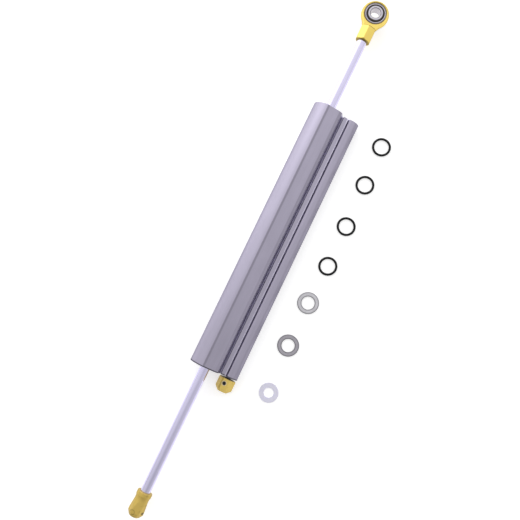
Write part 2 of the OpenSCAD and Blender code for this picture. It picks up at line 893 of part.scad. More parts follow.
module spindle_o_ring() {
    color(black_rubber)
        on_side_axis()
            ring_x(spindle_ring_x, spindle_r - spindle_ring_r - seat_gap, spindle_ring_r);
}

// Turned sleeve that guides the spindle and the needle, with the detent's pocket in its face
module valve_sleeve() {
    out_r = sleeve_r - seat_gap;
    color(steel)
        on_side_axis()
            difference() {
                turned_x([
                    [lower_end, spindle_r + run_gap],
                    [lower_end, out_r],
                    [sleeve_ring_x, out_r],
                    [sleeve_ring_x, sleeve_r - side_groove_d],
                    [sleeve_ring_x + side_groove_w, sleeve_r - side_groove_d],
                    [sleeve_ring_x + side_groove_w, out_r],
                    [sleeve_end, out_r],
                    [sleeve_end, needle_r],
                    [spindle_seat_x, needle_r],
                    [spindle_seat_x, spindle_r + run_gap]
                ]);
                translate([0, 0, click_ring_r])
                    bar_x(lower_end - cut, lower_end + click_pocket_l, click_pocket_r);
            }
}

module valve_sleeve_o_ring() {
    color(black_rubber)
        on_side_axis()
            ring_x(sleeve_ring_x + side_groove_w / 2, sleeve_r - side_ring_r - seat_gap, side_ring_r);
}

// Needle that screws along the sleeve as the spindle's tongue turns it
module valve_needle() {
    body_end_x = needle_x + needle_l;
    slot_t = tongue_t + 0.2;
    slot_width = tongue_w + 0.2;
    color(bronze)
        on_side_axis()
            rotate([-knob_turn, 0, 0])
                difference() {
                    turned_x([
                        [needle_x, 0],
                        [needle_x, needle_r - run_gap],
                        [body_end_x, needle_r - run_gap],
                        [body_end_x, stem_r],
                        [tip_x, stem_r],
                        [tip_x + tip_l, tip_point_r],
                        [tip_x + tip_l, 0]
                    ]);
                    translate([needle_x - cut, -slot_width / 2, -slot_t / 2])
                        cube([needle_slot_l + cut, slot_width, slot_t]);
                }
}

module valve_seat() {
    color(bronze)
        on_side_axis()
            difference() {
                bar_x(seat_x, seat_x + seat_l - seat_gap, sleeve_r - seat_gap);
                bar_x(seat_x - cut, seat_x + seat_l + cut, seat_hole_r);
            }
}

module detent_ball() {
    color(chrome)
        on_side_axis()
            translate([click_ball_x, 0, click_ring_r])
                sphere(r = click_ball_r, $fn = 48);
}

// Coil spring behind the detent ball: one wire swept along a helix, with six sides
module detent_spring() {
    wire_r = 0.13;
    coil_r = click_ball_r - wire_r - 0.1;
    turns = 6;
    sides = 6;
    per_turn = 14;
    rings = turns * per_turn;
    x0 = click_ball_x + click_ball_r + 0.1 + wire_r;
    x1 = lower_end + click_pocket_l - wire_r - 0.02;
    function at(i) = 360 * i / per_turn;
    function ring(i) = [for (k = [0 : sides - 1])
        let (r = coil_r + wire_r * cos(360 * k / sides))
        [x0 + (x1 - x0) * i / rings + wire_r * sin(360 * k / sides), r * cos(at(i)), r * sin(at(i))]];
    points = [for (i = [0 : rings]) each ring(i)];
    walls = [for (i = [0 : rings - 1], k = [0 : sides - 1])
        let (a = i * sides + k, b = i * sides + (k + 1) % sides)
        each [[a, b, b + sides], [a, b + sides, a + sides]]];
    first = [for (k = [1 : sides - 2]) [0, k + 1, k]];
    last = [for (k = [1 : sides - 2]) [rings * sides, rings * sides + k, rings * sides + k + 1]];
    color(steel)
        on_side_axis()
            translate([0, 0, click_ring_r])
                polyhedron(points = points, faces = concat(walls, first, last));
}

// Plug with a hexagon socket and a groove for its seal ring
module channel_plug() {
    socket_w = 4;
    out_r = sleeve_r - seat_gap;
    color(titanium)
        on_side_axis()
            difference() {
                turned_x([
                    [plug_x, 0],
                    [plug_x, out_r],
                    [plug_ring_x, out_r],
                    [plug_ring_x, sleeve_r - side_groove_d],
                    [plug_ring_x + side_groove_w, sleeve_r - side_groove_d],
                    [plug_ring_x + side_groove_w, out_r],
                    [plug_x + plug_l - 0.5, out_r],
                    [plug_x + plug_l, out_r - 0.5],
                    [plug_x + plug_l, 0]
                ]);
                hex_x(plug_x + plug_l - 3, plug_x + plug_l + cut, socket_w);
            }
}

module channel_plug_o_ring() {
    color(black_rubber)
        on_side_axis()
            ring_x(plug_ring_x + side_groove_w / 2, sleeve_r - side_ring_r - seat_gap, side_ring_r);
}

// Closed-cell insert at the end of the channel
module expansion_insert() {
    color(foam_grey)
        on_side_axis()
            bar_x(foam_x, plug_x - seat_gap, channel_r - seat_gap);
}

// One plug in each port drilling, just below the face of the side barrel
module port_plugs() {
    color(steel)
        for (x = [lower_port_x, upper_port_x])
            translate([x, 0, 0])
                rotate([90 + body_tilt, 0, 0])
                    rotate([0, -90, 0])
                        translate([axis_gap + side_r - port_plug_sunk - port_plug_l, 0, 0])
                            rotate([0, 90, 0])
                                cylinder(h = port_plug_l, r = port_r - seat_gap);
}

module spare_o_rings() {
    color(black_rubber)
        for (at = o_ring_at)
            translate([at[0], at[1] - loose_y, floor_z + o_ring_thick_r])
                rotate_extrude()
                    translate([o_ring_r - o_ring_thick_r, 0])
                        circle(r = o_ring_thick_r);
}

// Flat washer on the floor with broken edges
module flat_washer(at, out_r, in_r) {
    bevel = 0.2;
    translate([at[0], at[1] - loose_y, floor_z])
        rotate_extrude()
            polygon([
                [in_r, 0], [out_r - bevel, 0], [out_r, bevel], [out_r, washer_t - bevel],
                [out_r - bevel, washer_t], [in_r + bevel, washer_t], [in_r, washer_t - bevel]
            ]);
}

module spare_steel_washers() {
    color(steel)
        for (at = washer_at)
            flat_washer(at, washer_r, washer_hole_r);
}

module spare_nylon_washer() {
    color(nylon)
        flat_washer(nylon_at, nylon_r, nylon_hole_r);
}

barrel_body();
upper_rod_guide();
lower_rod_guide();
upper_rod_bush();
lower_rod_bush();
upper_rod_seal();
lower_rod_seal();
upper_wiper();
lower_wiper();
upper_guide_o_ring();
lower_guide_o_ring();
upper_circlip();
lower_circlip();
piston_rod();
piston();
piston_glide_ring();
piston_o_ring();
piston_shims();
piston_circlips();
rod_end();
bearing_race();
bearing_liner();
bearing_ball();
end_cap_nut();
adjuster_knob();
knob_set_screw();
adjuster_spindle();
spindle_o_ring();
valve_sleeve();
valve_sleeve_o_ring();
valve_needle();
valve_seat();
detent_ball();
detent_spring();
channel_plug();
channel_plug_o_ring();
expansion_insert();
port_plugs();
spare_o_rings();
spare_steel_washers();
spare_nylon_washer();
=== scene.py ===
"""Looks of a motorcycle steering damper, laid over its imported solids.

The damper lies on both of its barrels on a pale floor, with its spare seal rings and washers
in a row beside it. X runs along the piston rod towards the eye, Z is up, lengths are in metres.
"""

import math

import bpy
import numpy as np
from bpy.props import FloatProperty, FloatVectorProperty, IntProperty, PointerProperty
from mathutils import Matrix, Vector


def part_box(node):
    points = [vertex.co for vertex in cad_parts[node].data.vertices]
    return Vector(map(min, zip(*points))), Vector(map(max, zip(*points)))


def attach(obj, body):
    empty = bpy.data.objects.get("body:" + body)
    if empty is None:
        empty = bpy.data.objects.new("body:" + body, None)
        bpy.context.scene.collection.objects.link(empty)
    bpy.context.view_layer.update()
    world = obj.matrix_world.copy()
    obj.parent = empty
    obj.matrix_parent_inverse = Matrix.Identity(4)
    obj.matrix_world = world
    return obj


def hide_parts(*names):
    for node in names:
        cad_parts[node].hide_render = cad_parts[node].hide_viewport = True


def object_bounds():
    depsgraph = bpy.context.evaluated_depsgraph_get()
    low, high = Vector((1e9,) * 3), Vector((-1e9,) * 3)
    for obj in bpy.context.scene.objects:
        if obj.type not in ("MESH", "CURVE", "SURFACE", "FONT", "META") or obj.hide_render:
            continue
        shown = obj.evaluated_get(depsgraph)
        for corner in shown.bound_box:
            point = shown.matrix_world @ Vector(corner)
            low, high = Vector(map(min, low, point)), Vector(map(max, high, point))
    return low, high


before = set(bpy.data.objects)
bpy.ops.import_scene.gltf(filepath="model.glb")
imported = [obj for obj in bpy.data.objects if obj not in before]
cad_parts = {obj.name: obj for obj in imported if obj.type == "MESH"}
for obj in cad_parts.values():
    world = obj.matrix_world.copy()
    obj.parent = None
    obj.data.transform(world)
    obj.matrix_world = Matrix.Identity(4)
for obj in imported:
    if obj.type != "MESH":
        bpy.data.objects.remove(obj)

bl_info = {
    "name": "Steering damper looks",
    "version": (1, 0, 0),
    "blender": (4, 5, 0),
    "location": "View3D > Sidebar > Damper",
    "description": "Materials, loose rings, bearing and stage of a motorcycle steering damper",
    "category": "Object",
}

MM = 0.001


def middle(node):
    """The middle of a CAD node's box."""
    return np.mean(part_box(node), axis=0)


EYE_CENTRE = middle("bearing_ball")
FLOOR_Z = float(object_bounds()[0][2])

# Bands in Y across the body's section where painted shade and painted light go into its colour
COVE = (0.0, 1.6 * MM)
SLANTING_FLAT = (-11.2 * MM, -8.4 * MM)
NOTCH = (-13.1 * MM, -10.7 * MM)
THIN_SLOT = (-18.1 * MM, -16.2 * MM)
OUTER_SIDE = (-22.4 * MM, -24.4 * MM)

# Angles round the knob, counted from its set screw, of the painted shade line and of the flat with
# painted shade
KNOB_LINE = (math.radians(16.0), math.radians(27.0))
KNOB_FLAT = (math.radians(-28.0), math.radians(28.0))

# From the eye's centre to the step between neck and shank
NECK_STEP = 12.2 * MM

# Loose rings: how many seal rings, the points round their tube, and the washers' holes
SEAL_RING_COUNT = 4
TUBE_STEPS = 40
STEEL_WASHER_HOLE = 10.4 * MM
NYLON_WASHER_HOLE = 7.8 * MM

# Stage: the floor's gap under the damper, and the soft lamp's side and distance
FLOOR_GAP = 0.02 * MM
SOFTBOX_SIDE = 0.7
SOFTBOX_DISTANCE = 1.2


def colour_property(name, description, default):
    """A colour that the user can pick, in linear values."""
    return FloatVectorProperty(
        name=name, description=description, default=default, subtype="COLOR",
        size=3, min=0.0, max=1.0,
    )


def length_property(name, description, default):
    """A length in metres."""
    return FloatProperty(
        name=name, description=description, default=default, unit="LENGTH", min=0.0,
        precision=5,
    )


class DamperColours(bpy.types.PropertyGroup):
    """Colours of the damper's finishes and of the shade and light painted on them, in linear
    values
    """

    body: colour_property("Body", "Anodised twin barrel body", (0.436, 0.407, 0.512))
    gold: colour_property("Gold", "Anodised rod end", (0.920, 0.678, 0.176))
    cap_gold: colour_property("Cap gold", "Anodised end cap", (0.655, 0.470, 0.118))
    knob_gold: colour_property("Knob gold", "Anodised adjuster knob", (0.765, 0.560, 0.146))
    # Painted shade on the gold pieces, with their random patches and the cap's dark ring and tip
    dark_layer: colour_property("Dark layer", "Painted shade and marks on the gold pieces", (0.110, 0.080, 0.030))
    chrome: colour_property("Chrome", "Hard chromed rod", (0.705, 0.670, 0.890))
    bearing: colour_property("Bearing steel", "Race and ball", (0.570, 0.547, 0.608))
    steel: colour_property("Steel", "Turned inner pieces", (0.480, 0.480, 0.500))
    dark_steel: colour_property("Dark steel", "Circlips and set screw", (0.060, 0.060, 0.066))
    # A lighter and a darker tone for the two loose steel washers
    washer: colour_property("Washer steel", "Lighter zinc-plated washer", (0.630, 0.620, 0.655))
    darker_washer: colour_property("Darker washer", "Darker zinc-plated washer", (0.430, 0.413, 0.455))
    bronze: colour_property("Bronze", "Bushes, piston and needle", (0.520, 0.330, 0.150))
    ptfe: colour_property("Glide ring", "Filled plastic of the glide ring", (0.620, 0.600, 0.520))
    rubber: colour_property("Rubber", "Seals and loose rings", (0.012, 0.012, 0.013))
    liner: colour_property("Liner", "Woven liner of the bearing", (0.024, 0.016, 0.013))
    foam: colour_property("Foam", "Closed cell insert", (0.050, 0.050, 0.055))
    nylon: colour_property("Nylon", "Loose nylon washer", (0.745, 0.730, 0.845))
    # Painted shade on the body's cove, slanting flat and outer side, and on the line round its
    # lower end
    body_shade_colour: colour_property("Body shade", "Painted shade on the body", (0.030, 0.030, 0.040))
    # Painted light that lifts the shade in the body's notch and thin slot
    groove_light_colour: colour_property("Groove light", "Painted light in its grooves", (0.850, 0.820, 0.950))
    # Painted highlight round the set screw's hole in the knob
    hole_highlight_colour: colour_property("Hole highlight", "Rim of the set screw's hole", (0.700, 0.680, 0.680))
    # Painted shade on the ball's bolt-hole chamfer, and the darker, browner race with its outer
    # rim
    bearing_dark_colour: colour_property("Bearing darkening", "Seams of the bearing", (0.110, 0.070, 0.050))
    # Painted shade on the valve steel in the gap behind the knob
    gap_shade_colour: colour_property("Gap shade", "Valve steel behind the knob", (0.030, 0.030, 0.035))
    floor: colour_property("Floor", "Pale floor", (0.700, 0.700, 0.700))


class DamperSizes(bpy.types.PropertyGroup):
    """Sizes of the pieces that are made here, and of the edges"""

    flash: length_property("Flash", "Height of the moulding line on a seal ring", 0.03 * MM)
    flash_width: length_property("Flash width", "Width of that line", 0.12 * MM)
    oval: FloatProperty(
        name="Oval", description="How far a loose seal ring lies out of round",
        default=0.012, min=0.0, max=0.1, subtype="FACTOR",
    )
    washer_roll: length_property("Rolled edge", "Radius of a washer's rolled edge", 0.35 * MM)
    washer_burr: length_property("Burr", "Height of the burr under a washer", 0.04 * MM)
    stake_depth: length_property("Staking depth", "Depth of the groove in the race", 0.3 * MM)
    stake_width: length_property("Staking width", "Width of that groove", 0.45 * MM)
    bolt_hole: length_property("Bolt hole", "Diameter of the hole in the ball", 8.0 * MM)
    bearing_gap: length_property("Bearing gap", "Clearance between liner and race", 0.1 * MM)
    edge_round: length_property("Edge rounding", "Radius of the broken edges", 0.15 * MM)
    ring_steps: IntProperty(
        name="Ring steps", description="Points round a loose ring", default=192, min=24,
    )


class DamperStage(bpy.types.PropertyGroup):
    """Camera, light and floor"""

    camera_at: FloatVectorProperty(
        name="Camera", description="Place of the camera", size=3, subtype="TRANSLATION",
        unit="LENGTH", default=(-0.05782, -0.03376, 0.51449),
    )
    camera_turn: FloatVectorProperty(
        name="Camera turn", description="Turn of the camera about X, Y and Z", size=3,
        subtype="EULER", default=tuple(math.radians(a) for a in (5.346, 1.330, -64.349)),
    )
    lens: FloatProperty(
        name="Lens", description="Focal length on a 36 mm sensor, in millimetres",
        default=45.77, min=10.0, unit="CAMERA",
    )
    floor_size: length_property("Floor size", "Side of the square floor", 12.0)
    sky: FloatProperty(
        name="Sky", description="Strength of the light where nothing is added to it",
        default=0.735, min=0.0,
    )
    sky_rise: FloatVectorProperty(
        name="Rise", description="Slope of the light along X, Y and Z", size=3,
        subtype="XYZ", default=(0.276, 0.0, 0.201),
    )
    sky_least: FloatProperty(
        name="Least", description="Strength of the light in the dimmest part", default=0.35,
        min=0.0,
    )
    bright_side: FloatVectorProperty(
        name="Bright side", description="Direction of the bright side of the studio", size=3,
        subtype="DIRECTION", default=(0.641, 0.737, 0.214),
    )
    glow: FloatProperty(
        name="Glow", description="Strength of the soft glow in the bright side", default=1.39,
        min=0.0,
    )
    dim_side: FloatVectorProperty(
        name="Dim side", description="Direction of the dim patch of the studio", size=3,
        subtype="DIRECTION", default=(-0.492, -0.293, 0.820),
    )
    dim_depth: FloatProperty(
        name="Dim depth", description="How much weaker the light is in the dim patch",
        default=0.35, min=0.0,
    )
    key_side: FloatVectorProperty(
        name="Key side", description="Direction of the soft lamp", size=3, subtype="DIRECTION",
        default=(0.40, 0.62, 0.67),
    )
    key_power: FloatProperty(
        name="Key", description="Power of the soft lamp above the bright side, in watts",
        default=0.40, min=0.0, unit="POWER",
    )
    floor_lift: FloatProperty(
        name="Floor lift", description="Added to the floor where it is the background",
        default=0.53, min=0.0,
    )
    floor_slope: FloatProperty(
        name="Floor slope", description="Added to it beside the damper's bright upper end",
        default=0.36, min=0.0,
    )


class Sock:
    """One output socket. Arithmetic on it adds Math nodes to its material."""

    def __init__(self, paint, out):
        self.paint, self.out = paint, out

    def __add__(self, other):
        return self.paint.math("ADD", self, other)

    __radd__ = __add__

    def __sub__(self, other):
        return self.paint.math("SUBTRACT", self, other)

    def __rsub__(self, other):
        return self.paint.math("SUBTRACT", other, self)

    def __mul__(self, other):
        return self.paint.math("MULTIPLY", self, other)

    __rmul__ = __mul__

    def __pow__(self, other):
        return self.paint.math("POWER", self, other)


class Paint:
    """The node tree of one material or of the world."""

    def __init__(self, tree):
        self.tree = tree
        tree.nodes.clear()

    def node(self, kind, settings=None, inputs=None, out=0):
        """Makes a node: its settings first, then its sockets' values or links.

        A colour may have three parts, and gets its alpha of 1 here. One output is returned.
        """
        made = self.tree.nodes.new(kind)
        for name, value in (settings or {}).items():
            setattr(made, name, value)
        for name, value in (inputs or {}).items():
            socket = made.inputs[name]
            if isinstance(value, Sock):
                self.tree.links.new(value.out, socket)
            elif hasattr(value, "__len__"):
                parts = tuple(map(float, value))
                missing = len(socket.default_value) - len(parts)
                socket.default_value = parts + (1.0,) * missing
            else:
                socket.default_value = value
        return Sock(self, made.outputs[out]) if made.outputs else None

    def math(self, operation, *values):
        """A Math node on one to three values."""
        return self.node("ShaderNodeMath", {"operation": operation}, dict(enumerate(values)))

    def highest(self, first, *others):
        """The highest of some values."""
        for other in others:
            first = self.math("MAXIMUM", first, other)
        return first

    def vector(self, operation, a, b):
        """A Vector Math node on two vectors that gives a vector."""
        return self.node("ShaderNodeVectorMath", {"operation": operation}, {0: a, 1: b})

    def measure(self, operation, a, b=(0.0, 0.0, 0.0)):
        """A Vector Math node on two vectors that gives a number, such as their distance."""
        return self.node(
            "ShaderNodeVectorMath", {"operation": operation}, {0: a, 1: b}, "Value"
        )

    def mix_colour(self, share, a, b):
        """Colour a, turned into colour b by the share, through a Mix node's colour sockets."""
        return self.node(
            "ShaderNodeMix", {"data_type": "RGBA"}, {0: share, 6: a, 7: b}, 2
        )

    def place(self, scale=(1.0, 1.0, 1.0)):
        """Object coordinates, stretched by a scale along each axis."""
        at = self.node("ShaderNodeTexCoord", out="Object")
        return self.vector("MULTIPLY", at, scale)

    def axis(self, name, centre=(0.0, 0.0, 0.0)):
        """One of the three Object coordinates, counted from a centre."""
        at = self.vector("SUBTRACT", self.place(), centre)
        return self.node("ShaderNodeSeparateXYZ", None, {0: at}, name)

    def noise(self, at, scale, detail, rough=0.5):
        """Noise from 0 to 1 with that many waves in a metre."""
        return self.node(
            "ShaderNodeTexNoise", {"noise_dimensions": "3D"},
            {"Vector": at, "Scale": scale, "Detail": detail, "Roughness": rough},
        )

    def step(self, value, low, high, start=0.0, end=1.0):
        """A smooth step from start to end as the value goes from low to high."""
        return self.node(
            "ShaderNodeMapRange", {"interpolation_type": "SMOOTHSTEP"},
            {"Value": value, "From Min": low, "From Max": high, "To Min": start, "To Max": end},
        )

    def band(self, value, low, high, soft):
        """1 between low and high and 0 outside, with soft steps."""
        return self.step(value, low - soft, low + soft) * self.step(
            value, high - soft, high + soft, 1.0, 0.0
        )

    def rounded(self, radius):
        """The normal with its edges rounded by that radius."""
        return self.node("ShaderNodeBevel", {"samples": 4}, {"Radius": radius})

    def edges(self, radius):
        """1 along the sharp edges and 0 on the faces: how far the rounded normal turns."""
        normal = self.node("ShaderNodeNewGeometry", out="Normal")
        turned = self.measure("DOT_PRODUCT", self.rounded(radius), normal)
        return self.step(1.0 - turned, 0.02, 0.16)

    def bump(self, height, distance, strength, normal=None):
        """A Bump node. The height is from 0 to 1, and the distance is that of 1."""
        inputs = {"Height": height, "Distance": distance, "Strength": strength}
        if normal is not None:
            inputs["Normal"] = normal
        return self.node("ShaderNodeBump", None, inputs)

    def surface(self, shader):
        """Ends the tree in the output node."""
        self.node("ShaderNodeOutputMaterial", None, {"Surface": shader})


def material(name, build):
    """A new material whose tree build(paint) fills; build returns the Principled inputs."""
    made = bpy.data.materials.new(name)
    made.use_nodes = True
    paint = Paint(made.node_tree)
    paint.surface(paint.node("ShaderNodeBsdfPrincipled", None, build(paint)))
    return made


def tone(paint, colour, share, amount):
    """The colour, made darker or lighter by up to the amount as the share goes from 0 to 1."""
    dark = tuple(c * (1.0 - amount) for c in colour)
    light = tuple(min(1.0, c * (1.0 + amount)) for c in colour)
    return paint.mix_colour(share, dark, light)


def anodised(
    colour, edge_round, lines=0.0, rough=0.36, worn=(0.75, 0.75, 0.76), colour_layers=(), metal=1.0
):
    """Satin anodised aluminium: blasted grain, drawn lines along X, worn edges, soft clouds.

    A colour layer is a pair: a function of the tree that gives its share from 0 to 1, and its
    colour.
    Where metal is below 1 the oxide is thick enough to look partly matt.
    """

    def build(paint):
        clouds = paint.noise(paint.place((1.0, 3.0, 3.0)), 45.0, 3.0)
        grain = paint.noise(paint.place(), 5200.0, 2.0)
        drawn = paint.noise(paint.place((12.0, 1600.0, 1600.0)), 1.0, 3.0, 0.6)
        edge = paint.edges(edge_round) * paint.step(
            paint.noise(paint.place(), 900.0, 3.0), 0.40, 0.62
        )
        mottle = clouds * 0.5 + drawn * lines * 0.5 + grain * (0.5 - 0.5 * lines)
        base = tone(paint, colour, mottle, 0.16)
        for share, layer_colour in colour_layers:
            base = paint.mix_colour(share(paint), base, layer_colour)
        return {
            "Base Color": paint.mix_colour(edge * 0.45, base, worn),
            "Metallic": metal,
            "Roughness": rough - 0.06 + clouds * 0.07 + grain * 0.06 - edge * 0.05,
            "Specular Tint": (0.55, 0.55, 0.58),
            "Normal": paint.bump(
                grain * 0.7 + drawn * lines, 0.006 * MM, 0.5, paint.rounded(edge_round)
            ),
        }

    return build


def painted_body_shade(paint):
    """Painted shade on the body, and a painted shade line round its lower end.

    The shade lies in bands in Y: the cove beside the crease, the slanting flat and the small
    barrel's outer side. Steps in Z hold those of cove and flat to the upper side, and the
    flat's grows along X. The line is a band in X that leaves the end face clear.
    """
    along, across, up = (paint.axis(name) for name in "XYZ")
    uneven = paint.noise(paint.place((8.0, 900.0, 900.0)), 1.0, 2.0) * 0.3 + 0.85
    upper = paint.step(up, 6.0 * MM, 7.0 * MM)
    cove = paint.band(across, *COVE, 0.4 * MM) * 0.28
    growing = paint.step(along, -90.0 * MM, 60.0 * MM, 0.12, 0.25)
    slant = paint.band(across, *SLANTING_FLAT, 0.25 * MM) * growing
    side = paint.step(across, *OUTER_SIDE) * 0.26
    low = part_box("barrel_body")[0][0]
    line_start = paint.step(along, low + 0.02 * MM, low + 0.10 * MM, 0.0, 0.80)
    line_end = paint.step(along, low + 0.7 * MM, low + 1.1 * MM, 1.0, 0.0)
    marks = ((cove + slant) * upper + side) * uneven
    return paint.highest(marks, line_start * line_end)


def painted_groove_light(paint):
    """Painted light in the notch and in the thin slot, lifting their shade, as bands in Y on the
    upper side.
    """
    across, up = paint.axis("Y"), paint.axis("Z")
    sunk = paint.step(up, 7.4 * MM, 6.8 * MM)
    upper = paint.step(up, -3.0 * MM, -2.5 * MM)
    notch = paint.band(across, *NOTCH, 0.1 * MM) * sunk
    slot = paint.band(across, *THIN_SLOT, 0.1 * MM) * 0.8
    return (notch + slot) * 0.62 * upper


def rod_end_shade(paint):
    """Painted shade on the parted-off end face of the shank, and in the step between shank and
    neck.
    """
    along = paint.axis("X")
    low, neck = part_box("rod_end")[0][0], EYE_CENTRE[0] - NECK_STEP
    face = paint.step(along, low + 0.15 * MM, low + 0.9 * MM, 0.62, 0.0)
    seam = paint.band(along, neck - 0.40 * MM, neck + 0.15 * MM, 0.15 * MM) * 0.75
    return paint.highest(face, seam)


def cap_marks_and_shade(paint):
    """Marks on the cap's tip: a dark ring on one facet, a spot of painted shade, cloudy patches
    and a darkening towards the very tip.

    Ring and spot are bands in the distance to a point, both seen from above.
    """
    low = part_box("end_cap_nut")[0][0]
    flat, upper = paint.place((1.0, 1.0, 0.0)), paint.step(paint.axis("Z"), 0.0, 1.0 * MM)
    to_ring = paint.measure("DISTANCE", flat, (low + 3.6 * MM, 2.0 * MM, 0.0))
    to_spot = paint.measure("DISTANCE", flat, (low + 4.8 * MM, -5.6 * MM, 0.0))
    ring = paint.band(to_ring, 1.5 * MM, 2.2 * MM, 0.25 * MM) * upper * 0.40
    # The spot is painted shade
    spot = paint.step(to_spot, 0.7 * MM, 1.3 * MM, 0.85, 0.0) * upper
    patch = paint.step(paint.noise(paint.place(), 260.0, 2.0), 0.55, 0.72) * 0.25
    # Darker towards the very tip
    worn = paint.step(paint.axis("X"), low + 0.2 * MM, low + 1.1 * MM, 0.4, 0.0)
    return paint.highest(ring, patch, spot, worn)


def round_knob(paint):
    """Places round the knob: its distances along and across the set screw's axis, and along X.

    The middle of the knob is their zero, and the first is counted outwards through the screw.
    """
    _, y, z = middle("knob_set_screw") - middle("adjuster_knob")
    y, z = y / math.hypot(y, z), z / math.hypot(y, z)
    at = paint.vector("SUBTRACT", paint.place(), middle("adjuster_knob"))
    ways = ((0.0, y, z), (0.0, z, -y), (1.0, 0.0, 0.0))
    return [paint.measure("DOT_PRODUCT", at, way) for way in ways]


def knob_shade_and_patches(paint):
    """Painted shade in the gap towards the body, on the flat at the set screw and in a dark line,
    with random darker patches.

    Flat and line are bands in the angle round the knob's axis, counted from the set screw, whose
    flat ends at 30 degrees.
    """
    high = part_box("adjuster_knob")[1][0]
    out, side, _ = round_knob(paint)
    angle = paint.math("ARCTAN2", side, out)
    line = paint.band(angle, *KNOB_LINE, 0.05) * 0.50
    flat = paint.band(angle, *KNOB_FLAT, 0.04) * 0.06
    inner = paint.step(paint.axis("X"), high - 0.5 * MM, high - 0.1 * MM, 0.0, 0.7)
    patch = paint.step(paint.noise(paint.place(), 420.0, 2.0), 0.55, 0.70) * 0.16
    return paint.highest(inner, line, patch, flat)


def painted_hole_highlight(paint):
    """Painted highlight round the set screw's hole: a band in the distance from the screw's axis.
    """
    out, side, along = round_knob(paint)
    screw = float(middle("knob_set_screw")[0] - middle("adjuster_knob")[0])
    off = (side ** 2.0 + (along - screw) ** 2.0) ** 0.5
    upper = paint.step(out, 0.0, 1.0 * MM)
    return paint.band(off, 1.2 * MM, 2.0 * MM, 0.15 * MM) * upper * 0.40


def ground_chrome(colour, edge_round):
    """Hard chrome over a ground bar: rings round X, faint strokes along it, cloudy sheen."""

    def build(paint):
        rings = paint.noise(paint.place((9000.0, 40.0, 40.0)), 1.0, 2.0)
        strokes = paint.noise(paint.place((14.0, 420.0, 420.0)), 1.0, 3.0, 0.6)
        haze = paint.noise(paint.place((1.0, 2.0, 2.0)), 60.0, 3.0)
        base = tone(paint, colour, strokes * 0.6 + haze * 0.4, 0.10)
        return {
            "Base Color": base,
            "Metallic": 1.0,
            "Roughness": 0.13 + haze * 0.05 + strokes * 0.05,
            "Normal": paint.bump(
                rings * 0.5 + strokes * 0.5, 0.002 * MM, 0.35, paint.rounded(edge_round)
            ),
        }

    return build


def turned_metal(
    colour, edge_round, rough=0.28, centre=(0.0, 0.0, 0.0), axis="X", pitch=0.09 * MM, dark_layer=None
):
    """Turned metal: fine tool rings about an axis through the centre, worn bright at the edges.

    A ring's height is a sine of the distance from the axis plus the distance along it. The dark
    layer is a pair: a function of the tree and the distance from the axis that gives its share,
    and its colour.
    """
    flat = {"X": (0.0, 1.0, 1.0), "Z": (1.0, 1.0, 0.0)}[axis]
    along = tuple(1.0 - f for f in flat)
    worn = (0.85, 0.84, 0.83)

    def build(paint):
        at = paint.vector("SUBTRACT", paint.place(), centre)
        out = paint.measure("LENGTH", paint.vector("MULTIPLY", at, flat))
        run = paint.measure("DOT_PRODUCT", at, along)
        cut = paint.math("SINE", (out + run) * (2.0 * math.pi / pitch))
        uneven = paint.noise(paint.place(), 700.0, 3.0)
        edge = paint.edges(edge_round)
        base = tone(paint, colour, uneven * 0.7 + cut * 0.1 + 0.1, 0.18)
        if dark_layer is not None:
            share, layer_colour = dark_layer
            base = paint.mix_colour(share(paint, out), base, layer_colour)
        return {
            "Base Color": paint.mix_colour(edge * 0.35, base, worn),
            "Metallic": 1.0,
            "Roughness": rough - 0.05 + uneven * 0.12,
            "Normal": paint.bump(
                cut * 0.5 + uneven * 0.5, 0.004 * MM, 0.4, paint.rounded(edge_round)
            ),
        }

    return build


def plated_steel(colour, edge_round, ring=None):
    """Stamped and zinc-plated steel: rolling lines, small pits, a dull cloudy bloom.

    A ring is its centre, hole radius and outer radius: painted shade darkens its rolled rims,
    by a step in the distance from the centre.
    """
    # rim is the colour of the painted shade on a washer's rolled rims
    rim, pitted, worn = (0.09, 0.085, 0.10), (0.12, 0.12, 0.12), (0.62, 0.62, 0.63)

    def build(paint):
        rolled = paint.noise(paint.place((60.0, 2600.0, 900.0)), 1.0, 3.0, 0.6)
        pits = paint.step(paint.noise(paint.place(), 2400.0, 1.0), 0.66, 0.74)
        bloom = paint.noise(paint.place(), 240.0, 3.0)
        edge = paint.edges(edge_round)
        base = tone(paint, colour, bloom * 0.6 + rolled * 0.4, 0.26)
        if ring is not None:
            base = paint.mix_colour(shaded_rims(paint, *ring) * 0.60, base, rim)
        base = paint.mix_colour(pits * 0.4, base, pitted)
        return {
            "Base Color": paint.mix_colour(edge * 0.5, base, worn),
            "Metallic": 0.9,
            "Roughness": 0.36 + bloom * 0.14 + pits * 0.15,
            "Normal": paint.bump(
                rolled * 0.4 + bloom * 0.2 - pits * 0.5, 0.012 * MM, 0.5,
                paint.rounded(edge_round),
            ),
        }

    return build


def shaded_rims(paint, centre, in_r, out_r):
    """1 at a flat ring's two rims, where shade is painted, and 0 between them, from the distance
    to its centre.
    """
    wide = 0.75 * MM
    off = paint.measure("DISTANCE", paint.place(), centre)
    return 1.0 - paint.band(off, in_r + wide, out_r - wide, 0.35 * MM)


def moulded_rubber(colour):
    """Moulded rubber: fine matt skin with a faint bloom and a few dust specks."""
    dust = (0.10, 0.10, 0.10)

    def build(paint):
        skin = paint.noise(paint.place(), 4200.0, 2.0)
        bloom = paint.noise(paint.place(), 180.0, 3.0)
        specks = paint.step(paint.noise(paint.place(), 1900.0, 0.0), 0.76, 0.80)
        base = tone(paint, colour, bloom, 0.35)
        return {
            "Base Color": paint.mix_colour(specks * 0.25, base, dust),
            "Roughness": 0.48 + bloom * 0.12 + specks * 0.2,
            "Specular IOR Level": 0.15,
            "Normal": paint.bump(skin, 0.006 * MM, 0.5),
        }

    return build


